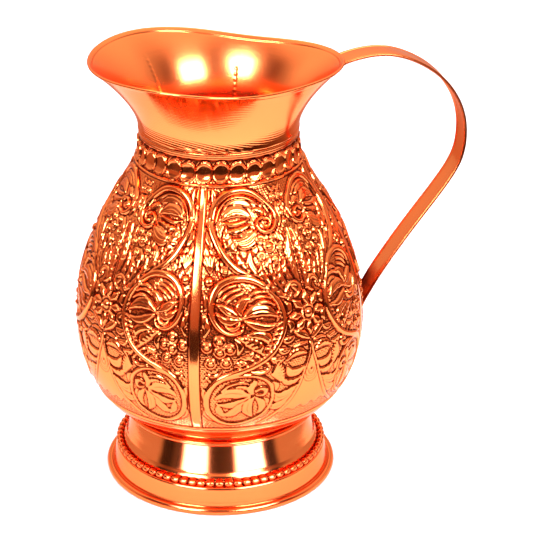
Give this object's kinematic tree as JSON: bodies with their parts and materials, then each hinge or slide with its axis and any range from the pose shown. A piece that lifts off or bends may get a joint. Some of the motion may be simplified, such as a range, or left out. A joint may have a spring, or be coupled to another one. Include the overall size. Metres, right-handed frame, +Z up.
{
  "type": "copper water jug",
  "caption": "Free-standing copper water jug with an embossed round body, plain flared neck with a broad pouring lip, strap handle and beaded pedestal foot.",
  "frame": {"origin": "centre of the outline's bounding box on the plane that the jug stands on; the jug's own axis is parallel to Z, 25.9 mm towards -X", "axes": "+Z up, +X towards the handle, so -X is the pouring lip, and X and Z span the plane of symmetry"},
  "size_m": [0.1918, 0.14, 0.2156],
  "materials": {
    "embossed_copper": "polished copper sheet with deep embossing, darker in its hollows",
    "polished_copper": "polished copper with fine lines from turning",
    "foot_copper": "polished copper",
    "bare_copper": "unpolished copper, satin",
    "brazing_filler": "brazing filler, satin"
  },
  "bodies": {
    "root": {"body_shell": "embossed_copper", "body_bottom": "bare_copper", "neck_lip": "polished_copper", "collar_braze_ring": "brazing_filler", "waist_ring": "foot_copper", "foot_braze_ring": "brazing_filler", "foot_wall": "foot_copper", "bead_ring": "foot_copper", "base_band": "foot_copper", "base_rim_wire": "bare_copper", "handle_strap": "polished_copper", "handle_top_braze": "brazing_filler", "handle_bottom_braze": "brazing_filler"}
  },
  "joints": []
}
